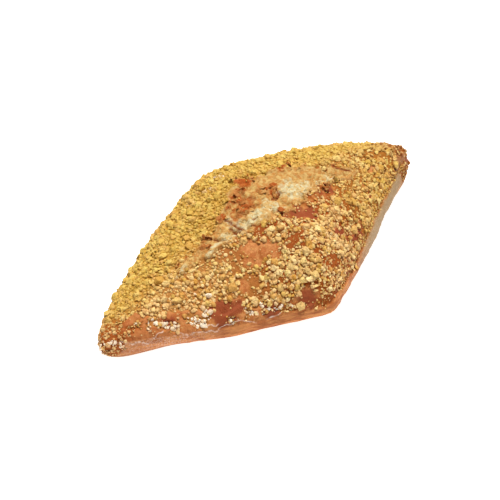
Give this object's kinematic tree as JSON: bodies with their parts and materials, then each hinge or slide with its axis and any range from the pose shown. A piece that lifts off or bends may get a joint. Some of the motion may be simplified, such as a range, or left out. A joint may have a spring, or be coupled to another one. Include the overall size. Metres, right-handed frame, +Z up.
{
  "type": "bread roll",
  "caption": "Diamond-shaped bread roll with a flat underside, a torn crest and a coating of coarse baked maize grits.",
  "frame": {"origin": "middle of the flat underside, at the middle of the roll's box", "axes": "+X runs along the length to the taller tip, -Y is the broader front flank with the straight sides, +Z is up"},
  "size_m": [0.1612, 0.0771, 0.0319],
  "materials": {
    "crust": "baked crust, satin, reddish tan",
    "grits": "baked maize grits, matte, yellow",
    "crumb": "torn bread crumb, matte, cream",
    "flour": "dry flour, matte, off-white"
  },
  "bodies": {
    "root": {"roll": "crust"}
  },
  "joints": []
}
